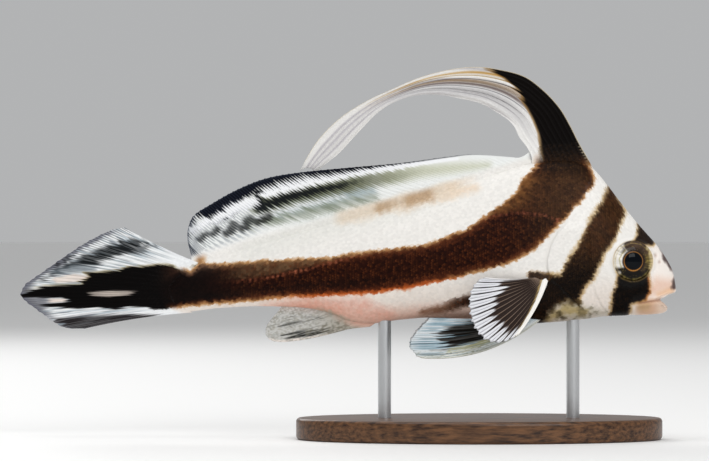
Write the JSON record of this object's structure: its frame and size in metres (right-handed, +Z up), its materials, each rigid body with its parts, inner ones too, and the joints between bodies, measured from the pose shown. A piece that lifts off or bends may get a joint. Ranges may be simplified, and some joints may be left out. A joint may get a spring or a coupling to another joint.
{
  "type": "jackknife fish",
  "caption": "Still model of a banded reef fish with a tall, arched first dorsal fin, held on an oval display stand by slim rods.",
  "frame": {"origin": "on the floor under the middle of the whole model, which is the middle of the fish's length and of its width", "axes": "+X along the fish from tail to snout, +Y to the fish's left, +Z up"},
  "size_m": [0.1504, 0.046, 0.0854],
  "materials": {
    "skin": "moist scaled skin, off-white with dark brown bands",
    "fin": "thin fin membrane on paler rays, white, grey and near black",
    "eye": "clear, wet and glossy over a near black pupil",
    "stand_wood": "dark walnut, satin varnish",
    "stand_steel": "fine brushed"
  },
  "bodies": {
    "root": {"head": "skin", "lower_jaw": "skin", "gill_cover_right": "skin", "gill_cover_left": "skin", "trunk": "skin", "tail_stalk": "skin", "first_dorsal_root": "fin", "first_dorsal_crown": "fin", "first_dorsal_arch": "fin", "first_dorsal_tip": "fin", "second_dorsal_fin": "fin", "anal_fin": "fin", "caudal_fin": "fin", "pectoral_fin_right": "fin", "pectoral_fin_left": "fin", "pelvic_fin_right": "fin", "pelvic_fin_left": "fin", "eye_right": "eye", "eye_left": "eye", "stand_base": "stand_wood", "stand_rod_front": "stand_steel", "stand_rod_rear": "stand_steel"}
  },
  "joints": []
}
